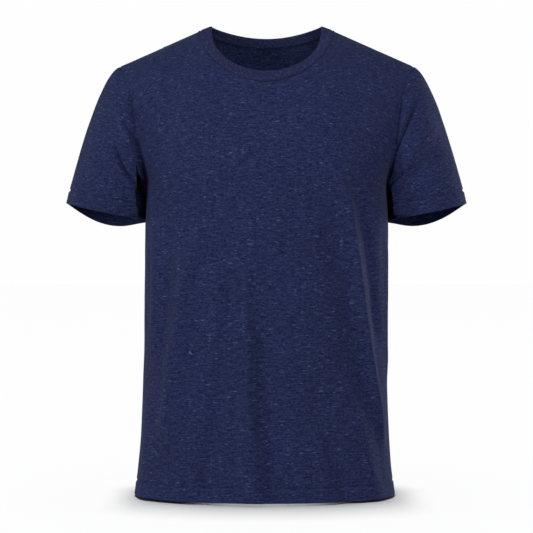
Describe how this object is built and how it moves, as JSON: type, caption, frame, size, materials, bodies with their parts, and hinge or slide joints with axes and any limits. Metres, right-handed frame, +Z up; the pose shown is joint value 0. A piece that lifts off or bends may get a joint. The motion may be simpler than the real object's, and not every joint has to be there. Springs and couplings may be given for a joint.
{
  "type": "crew neck t-shirt",
  "caption": "Short-sleeved crew neck t-shirt, worn shape with no wearer: front, back, two set-in sleeves and a rib neckband as thin open walls.",
  "frame": {"origin": "middle of the shoulder line, level with the neck ends of the shoulder seams, where the wearer's shoulders hold the garment", "axes": "+Z up, the front faces -Y, +X towards the sleeve on the right in a front view"},
  "size_m": [0.5968, 0.2382, 0.6954],
  "materials": {
    "jersey": "navy heather single jersey with pale slubs, matt",
    "rib": "navy rib knit, folded double, matt"
  },
  "bodies": {
    "root": {"front": "jersey", "back": "jersey", "sleeve_left": "jersey", "sleeve_right": "jersey", "neckband": "rib"}
  },
  "joints": []
}
